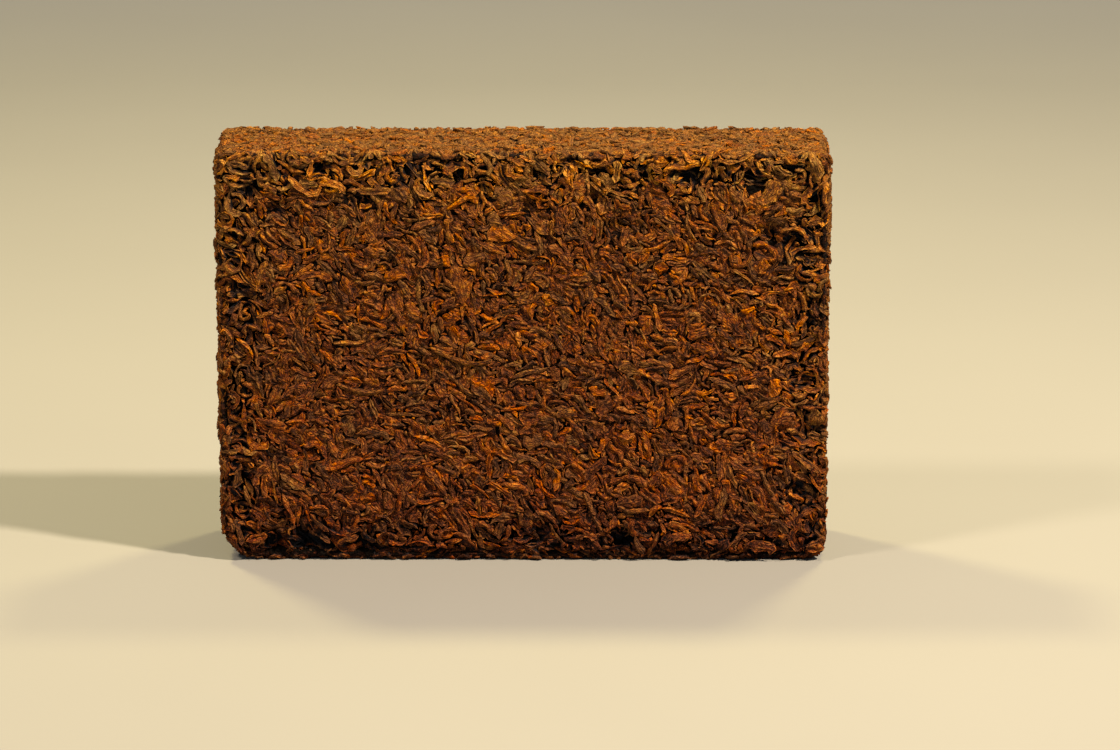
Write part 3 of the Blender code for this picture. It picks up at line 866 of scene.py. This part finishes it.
# Lays each leaf out as one strip of a grid, so baked colours keep to their own leaf.
def layoutOfLeaves(count, columns, share, flip):
    across = math.ceil(math.sqrt(count * 0.6))
    down = math.ceil(count / across)
    left = (np.arange(count) % across) / across
    low = (np.arange(count) // across) / down
    width, height = 0.94 / across, 0.94 / down
    column = np.arange(columns)
    first, mid, second = column / columns, (column + 0.5) / columns, (column + 1) / columns
    here, ahead, flat = share[:-1, None] + 0 * column, share[1:, None] + 0 * column, np.zeros(columns)
    quadU = np.stack((here, here, ahead, ahead), -1)
    quadV = np.stack((first, second, second, first), -1)[None] + 0 * quadU
    tipU = np.stack((flat, flat + share[0], flat + share[0]), -1)
    farU = np.stack((flat + 1, flat + share[-1], flat + share[-1]), -1)
    tipV, farV = np.stack((mid, second, first), -1), np.stack((mid, first, second), -1)
    layouts = []
    for u, v in ((quadU.reshape(-1, 4), quadV.reshape(-1, 4)),
                 (np.concatenate((tipU, farU)), np.concatenate((tipV, farV)))):
        u = left[:, None, None] + u[None] * width
        v = low[:, None, None] + v[None] * height
        both = np.stack((u, v), -1)
        layouts.append(np.where(flip[:, None, None, None], both[:, :, ::-1], both).reshape(-1, 2))
    return np.concatenate(layouts)


# The core: crumbled leaf that shows in the gaps, coloured near black as painted shade.
coreForm = {
    "step": 1.2 * mm,
    "depth": 0.95 * mm,  # under the flush leaf of the broad faces
    "sideDepth": 0.55 * mm,
    "soleDepth": 0.3 * mm,
    "looseDepth": 1.3 * mm,  # more along the rims
    "lumps": (2.6 * mm, 0.35),  # size across and height in mm
    "crumbs": (1.5 * mm, 0.25),
}


def cornersOfCells(grid, axis):
    return np.stack((grid[:-1, :-1], grid[1:, :-1], grid[1:, 1:], grid[:-1, 1:]), axis)


def growCore():
    counts = np.round(2 * half / coreForm["step"]).astype(int)
    nodes = np.full(counts + 1, -1)
    shell = np.zeros(counts + 1, bool)
    for axis in range(3):
        view = np.moveaxis(shell, axis, 0)
        view[0] = view[-1] = True
    nodes[shell] = np.arange(shell.sum())
    lattice = np.argwhere(shell) / counts - 0.5
    quads, layouts = [], []
    for axis in range(3):
        for end in (0, -1):
            sheet = np.moveaxis(nodes, axis, 0)[end]
            place = np.moveaxis(np.indices(sheet.shape), 0, -1) / (np.array(sheet.shape) - 1)
            place = place * (0.3, 0.47) + (0.02 + axis * 0.33, 0.02 if end else 0.51)
            outward = 1 if (end == -1) == (axis != 1) else -1
            quads.append(cornersOfCells(sheet, -1).reshape(-1, 4)[:, ::outward])
            layouts.append(cornersOfCells(place, -2).reshape(-1, 4, 2)[:, ::outward])
    points, ways, _ = ontoBlock(lattice * 2 * half + middle)
    cells = cellsAt(points, ways)
    depth = coreForm["sideDepth"] + (coreForm["depth"] - coreForm["sideDepth"]) * broad[cells]
    depth = depth + coreForm["looseDepth"] * loose[cells] + sunk[cells]
    (lumpSize, lumpHeight), (crumbSize, crumbHeight) = coreForm["lumps"], coreForm["crumbs"]
    lumps = ripple(points, lumpSize, 11) * lumpHeight + ripple(points, crumbSize, 12) * crumbHeight
    depth = depth - lumps * mm * (0.45 + 0.75 * loose[cells])
    under = ways[:, 2] < -0.9
    depth[under] = np.maximum(depth[under], coreForm["soleDepth"])
    points = points - ways * depth[:, None]
    attributes = {
        "leafTone": 0.5 + 0.5 * ripple(points, 3 * mm, 14),
        "leafDepth": -fromBlock(points)[0] / mm,
        "leafSide": 1 - np.abs(ways[:, 1]),
        # lumps that stand higher are painted lighter, a painted highlight
        "leafRidgeHighlight": np.clip(0.5 + lumps, 0, 1),
    }
    piece = meshOf("pressed_core", points, (np.concatenate(quads),), attributes,
                   np.concatenate(layouts).reshape(-1, 2))
    say(f"pressed_core: {len(piece.data.polygons) * 2} triangles")
    return piece


# Colours run from near black over brown and rust to gold; folds are painted down towards the black as
# shade, and ridges up towards the gold as highlight.
brownColours = (
    (0.00, (0.0110, 0.0088, 0.0084)),
    (0.24, (0.051, 0.0166, 0.0104)),
    (0.50, (0.166, 0.0470, 0.0120)),
    (0.72, (0.280, 0.0985, 0.0170)),
    (0.88, (0.375, 0.1530, 0.0240)),
    (1.00, (0.480, 0.2370, 0.0420)),
)
rustColours = (
    (0.00, (0.0115, 0.0080, 0.0078)),
    (0.24, (0.055, 0.0160, 0.0090)),
    (0.50, (0.175, 0.0440, 0.0098)),
    (0.72, (0.300, 0.0910, 0.0128)),
    (0.88, (0.420, 0.1440, 0.0175)),
    (1.00, (0.540, 0.2250, 0.0280)),
)
oliveColours = (
    (0.00, (0.0110, 0.0092, 0.0086)),
    (0.26, (0.053, 0.0200, 0.0116)),
    (0.52, (0.152, 0.0550, 0.0156)),
    (0.76, (0.246, 0.1040, 0.0225)),
    (1.00, (0.360, 0.1870, 0.0390)),
)
# the last colour of a finish is painted shade, mixed in where leaf lies deep below its crest
usualFinish = dict(gloss=(0.42, 0.70), calm=0.56, paintedShadeDepth=0.72, paintedShade=(0.0080, 0.0092, 0.0128))
leafFinishes = {
    "dark": dict(usualFinish, ramp=oliveColours, shift=-0.09),
    "brown": dict(usualFinish, ramp=brownColours, shift=0.0),
    "olive": dict(usualFinish, ramp=oliveColours, shift=0.04),
    "rust": dict(usualFinish, ramp=rustColours, shift=0.10),
    "gold": dict(usualFinish, ramp=rustColours, shift=0.20),
    "mashed": dict(usualFinish, ramp=brownColours, shift=-0.09, gloss=(0.5, 0.8), grains=0.30),
}
# the core's colours are pushed far down the ramp and mixed to near black: painted shade for the gaps
coreFinishAndShade = dict(ramp=brownColours, shift=-0.34, gloss=(0.7, 0.95), calm=0.2, paintedShadeDepth=1.8,
                  paintedShade=(0.0024, 0.0022, 0.0022), grains=0.35)

surfaceForm = {
    # noises over the brick: scale and detail
    "noises": dict(blush=(260, 2), mottle=(900, 3), specks=(3600, 2)),
    # stretches of the leaf's own grain: along it, across it
    "streaks": (0.5, 3.4, 1.0),
    "wrinkles": (0.62, 1.9, 1.0),
    "wrinkleBend": (1.1, 0.5, 0.0),
    "wrinkleEdge": 4.5,  # how sharp the folds between wrinkles are
    # what picks the colour: the value that changes nothing, and the weight
    # ridge lightens the outer ridges of leaves, a painted highlight
    "colour": dict(tone=(0.5, 0.16), ridge=(0.55, 0.20), streaks=(0.5, 0.62), mottle=(0.5, 0.50),
                   specks=(0.5, 0.84), folds=(0.75, 0.30), blush=(0.5, 0.28)),
    "calm": 0.42,  # how much more even in colour the mould's smooth sides are
    "patches": dict(scale=520, detail=4, ofLeaf=0.22, hue=0.022, saturation=0.30, value=1.3),
    "hue": dict(base=0.4942, perMetre=0.10, side=0.004),
    # where the painted shade begins
    "paintedShadeStart": 0.31,  # mm below a leaf's crest
    "sheen": 0.035,
    "sheenTint": (1.0, 0.62, 0.36, 1),
    "bumps": dict(folds=0.8, specks=0.9, streaks=0.9),
    "crumbPits": 1.6,  # how deep the gaps between crumbs are
    "bumpDepth": 0.38 * mm,
}


# Adds a node and fills its sockets with plain values or with what other nodes give. A
# socket's name is written with _ for its spaces.
def addNode(tree, kind, **sockets):
    node = tree.nodes.new("ShaderNode" + kind)
    for label, value in sockets.items():
        fill(tree, node.inputs[label.replace("_", " ")], value)
    return node


def fill(tree, socket, value):
    if isinstance(value, bpy.types.NodeSocket):
        tree.links.new(value, socket)
    else:
        socket.default_value = value


# Mixes two colours by a share.
def mixOf(tree, share, first, second):
    node = tree.nodes.new("ShaderNodeMix")
    node.data_type = "RGBA"
    for label, value in (("Factor", share), ("A", first), ("B", second)):
        fill(tree, node.inputs[label], value)
    return node.outputs["Result"]


def newMaterial(name):
    material = bpy.data.materials.new(name)
    material.use_nodes = True
    return material, material.node_tree, material.node_tree.nodes["Principled BSDF"]


def leafMaterial(name, look):
    material, tree, shader = newMaterial(name)

    def attribute(label, output="Fac"):
        node = tree.nodes.new("ShaderNodeAttribute")
        node.attribute_name = label
        return node.outputs[output]

    def maths(kind, first, second, clamp=False):
        node = tree.nodes.new("ShaderNodeMath")
        node.operation = kind
        node.use_clamp = clamp
        fill(tree, node.inputs[0], first)
        fill(tree, node.inputs[1], second)
        return node.outputs[0]

    plus, minus, times = (partial(maths, kind) for kind in ("ADD", "SUBTRACT", "MULTIPLY"))

    def noiseOf(vector, scale, detail):
        node = addNode(tree, "TexNoise", Vector=vector, Scale=scale, Detail=detail, Roughness=0.6)
        return node.outputs["Fac"]

    place = tree.nodes.new("ShaderNodeTexCoord").outputs["Object"]
    grain = attribute("leafGrain", "Vector")
    parts = {label: noiseOf(place, *values) for label, values in surfaceForm["noises"].items()}
    parts["tone"] = attribute("leafTone")
    parts["ridge"] = attribute("leafRidgeHighlight")
    stretched = addNode(tree, "Mapping", Vector=grain, Scale=surfaceForm["streaks"])
    parts["streaks"] = noiseOf(stretched.outputs["Vector"], 1.0, 3)
    bend = addNode(tree, "TexNoise", Vector=place, Scale=900)
    bent = tree.nodes.new("ShaderNodeVectorMath")
    bent.operation = "MULTIPLY_ADD"
    for number, value in enumerate((bend.outputs["Color"], surfaceForm["wrinkleBend"], grain)):
        fill(tree, bent.inputs[number], value)
    stretched = addNode(tree, "Mapping", Vector=bent.outputs[0], Scale=surfaceForm["wrinkles"])
    wrinkles = addNode(tree, "TexVoronoi", Vector=stretched.outputs["Vector"], Scale=1.0)
    wrinkles.feature = "DISTANCE_TO_EDGE"
    # folds is low along the creases between wrinkles, where the colour is painted darker as shade and the
    # bump sinks
    parts["folds"] = times(wrinkles.outputs["Distance"], surfaceForm["wrinkleEdge"], clamp=True)

    # the mix that picks the colour
    amount = plus(look["shift"], 0.5)
    for label, (centre, weight) in surfaceForm["colour"].items():
        amount = plus(amount, times(minus(parts[label], centre), weight))
    if "grains" in look:
        crumbs = addNode(tree, "TexVoronoi", Vector=place, Scale=1500)
        own = addNode(tree, "SeparateColor", Color=crumbs.outputs["Color"])
        amount = plus(amount, times(minus(own.outputs[0], 0.5), look["grains"]))
    calm = times(attribute("leafSide"), surfaceForm["calm"])
    amount = plus(amount, times(minus(look["calm"], amount), calm))
    ramp = addNode(tree, "ValToRGB", Fac=amount)
    stops = ramp.color_ramp.elements
    for stop, (position, colour) in zip(stops, (look["ramp"][0], look["ramp"][-1])):
        stop.position = position
        stop.color = (*colour, 1)
    for position, colour in look["ramp"][1:-1]:
        stops.new(position).color = (*colour, 1)

    # bright orange patches and dull grey brown ones; redder at the foot, greener higher up
    form, hueForm = surfaceForm["patches"], surfaceForm["hue"]
    patches = times(minus(attribute("leafChance"), 0.5), form["ofLeaf"])
    patches = plus(patches, minus(noiseOf(place, form["scale"], form["detail"]), 0.5))
    height = addNode(tree, "SeparateXYZ", Vector=place)
    hue = times(height.outputs["Z"], hueForm["perMetre"])
    hue = plus(hue, times(attribute("leafSide"), hueForm["side"]))
    hue = minus(hue, times(patches, form["hue"]))
    tint = addNode(
        tree, "HueSaturation", Hue=plus(hue, hueForm["base"]), Color=ramp.outputs["Color"],
        Saturation=plus(times(patches, form["saturation"]), 1.0),
        Value=plus(times(patches, form["value"]), 1.0))

    # painted shade: the flanks and undersides of leaves are mixed towards a bluish near black, more the
    # deeper they lie below their crests
    paintedShade = addNode(tree, "MapRange", Value=attribute("leafDepth"), From_Min=surfaceForm["paintedShadeStart"],
                    From_Max=look["paintedShadeDepth"])
    paintedShade.interpolation_type = "SMOOTHSTEP"
    colour = mixOf(tree, paintedShade.outputs["Result"], tint.outputs["Color"], (*look["paintedShade"], 1))
    fill(tree, shader.inputs["Base Color"], colour)

    dull, rough = look["gloss"]
    gloss = addNode(tree, "MapRange", Value=parts["mottle"], From_Min=0.3, From_Max=0.7,
                    To_Min=dull, To_Max=rough)
    fill(tree, shader.inputs["Roughness"], gloss.outputs["Result"])
    shader.inputs["Specular IOR Level"].default_value = surfaceForm["sheen"]
    shader.inputs["Specular Tint"].default_value = surfaceForm["sheenTint"]
    heights = [times(parts[label], weight) for label, weight in surfaceForm["bumps"].items()]
    bumps = plus(plus(heights[0], heights[1]), heights[2])
    if "grains" in look:
        bumps = minus(bumps, times(crumbs.outputs["Distance"], surfaceForm["crumbPits"]))
    bump = addNode(tree, "Bump", Strength=1.0, Distance=surfaceForm["bumpDepth"], Height=bumps)
    fill(tree, shader.inputs["Normal"], bump.outputs["Normal"])
    return material


# Which leaves of each kind wear which finish: up to which tone, from dark to golden.
wear = {
    "flat": ("flat_leaves", dict(brown=0.60, olive=0.80, rust=0.94, gold=1.0)),
    "rolled": ("rolled_leaves", dict(dark=0.20, brown=0.56, olive=0.76, rust=0.96, gold=1.0)),
    "curled": ("curled_leaves", dict(brown=0.56, olive=0.76, rust=0.94, gold=1.0)),
    "thin": ("thin_leaves", dict(olive=0.6, rust=0.93, gold=1.0)),
    "buried": ("buried_leaves", dict(brown=0.56, olive=0.80, rust=1.0)),
    "mash": ("leaf_mash", dict(mashed=1.0)),
    "stalk": ("stalks", dict(olive=1.0)),
    "crumb": ("leaf_crumbs", dict(brown=0.56, olive=0.78, rust=0.95, gold=1.0)),
}


def dress(piece, material):
    piece.data.materials.append(material)
    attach(piece, "root")
    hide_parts("tea_brick")


def growAll():
    finishes = {shade: leafMaterial(f"{shade}_leaf", look) for shade, look in leafFinishes.items()}
    for kind, (family, shades) in wear.items():
        low = 0.0
        for shade, high in shades.items():
            # within its finish, a leaf's tone runs from 0 to 1
            chosen = [
                dict(leaf, tone=(leaf["tone"] - low) / (high - low))
                for leaf in laid[kind] if low <= leaf["tone"] < high
            ]
            name = f"{family}_{shade}" if len(shades) > 1 else family
            if chosen:
                dress(growLeaves(kind, name, chosen), finishes[shade])
            low = high


dress(growCore(), leafMaterial("crumbled_core", coreFinishAndShade))
growAll()
total = sum(len(p.vertices) - 2 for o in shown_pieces() for p in o.data.polygons)
say(f"{total} triangles in all")

floorForm = {
    "size": 8.0,
    "colours": ((0.212, 0.210, 0.206, 1), (0.198, 0.196, 0.193, 1)),
    "grain": 9,
    "roughness": 0.85,
}


def makeFloor():
    mesh = bpy.data.meshes.new("floor")
    size = floorForm["size"] / 2
    corners = [(-size, -size, 0), (size, -size, 0), (size, size, 0), (-size, size, 0)]
    mesh.from_pydata(corners, [], [(0, 1, 2, 3)])
    floor = bpy.data.objects.new("floor", mesh)
    bpy.context.scene.collection.objects.link(floor)
    floor.location.z = brickLow.z
    material, tree, shader = newMaterial("pale_floor")
    place = tree.nodes.new("ShaderNodeTexCoord").outputs["Object"]
    grain = addNode(tree, "TexNoise", Vector=place, Scale=floorForm["grain"])
    fill(tree, shader.inputs["Base Color"], mixOf(tree, grain.outputs["Fac"], *floorForm["colours"]))
    shader.inputs["Roughness"].default_value = floorForm["roughness"]
    mesh.materials.append(material)
    floor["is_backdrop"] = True


lights = {
    # name: place, aim, size, power in watts, colour
    "key": ((0.52, -0.30, 0.76), (0, 0, 0.05), 0.07, 21.8, (1.0, 0.82, 0.58)),
    "frontLeft": ((-0.42, -0.30, 0.66), (0, 0, 0.05), 0.12, 4.9, (1.0, 0.82, 0.58)),
    "backLeft": ((-0.28, 0.30, 0.64), (0, 0, 0.05), 0.10, 4.6, (1.0, 0.82, 0.36)),
    "backRight": ((0.20, 0.30, 0.62), (0, 0, 0.05), 0.10, 3.3, (1.0, 0.82, 0.36)),
    "background": ((0.0, 1.2, 1.5), (0, 4.5, 0.0), 1.2, 60, (1.0, 0.90, 0.78)),
}
studio = {"colour": (0.74, 0.88, 0.96, 1), "strength": 0.28}


def makeLights():
    for name, (place, aim, size, power, colour) in lights.items():
        lamp = bpy.data.lights.new(name, "AREA")
        lamp.shape = "DISK"
        lamp.size = size
        lamp.energy = power
        lamp.color = colour
        light = bpy.data.objects.new(name, lamp)
        light.location = place
        light.rotation_euler = (Vector(aim) - Vector(place)).to_track_quat("-Z", "Y").to_euler()
        bpy.context.scene.collection.objects.link(light)
    world = bpy.data.worlds.new("studio")
    world.use_nodes = True
    background = world.node_tree.nodes["Background"]
    background.inputs["Color"].default_value = studio["colour"]
    background.inputs["Strength"].default_value = studio["strength"]
    bpy.context.scene.world = world


cameraSetup = {
    "aim": (8.4 * mm, 0, 40.5 * mm),  # a little to the right of the brick's middle
    "distance": 1.15,
    "elevation": 15.2,
    "turn": 0.17,
    "lens": 160.9,
    "sensor": 36,
    "nearest": 0.01,
}


def makeCamera():
    lens = bpy.data.cameras.new("camera")
    lens.lens = cameraSetup["lens"]
    lens.sensor_width = cameraSetup["sensor"]
    lens.clip_start = cameraSetup["nearest"]
    camera = bpy.data.objects.new("camera", lens)
    turn, lift = math.radians(cameraSetup["turn"]), math.radians(cameraSetup["elevation"])
    back = Vector((math.sin(turn) * math.cos(lift), -math.cos(turn) * math.cos(lift), math.sin(lift)))
    aim = Vector(cameraSetup["aim"])
    camera.location = aim + back * cameraSetup["distance"]
    camera.rotation_euler = (-back).to_track_quat("-Z", "Y").to_euler()
    bpy.context.scene.collection.objects.link(camera)
    bpy.context.scene.camera = camera


makeFloor()
makeLights()
makeCamera()
bpy.context.scene.view_settings.view_transform = "Standard"

bpy.context.view_layer.update()
say(f"sizes written, {len(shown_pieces())} pieces")
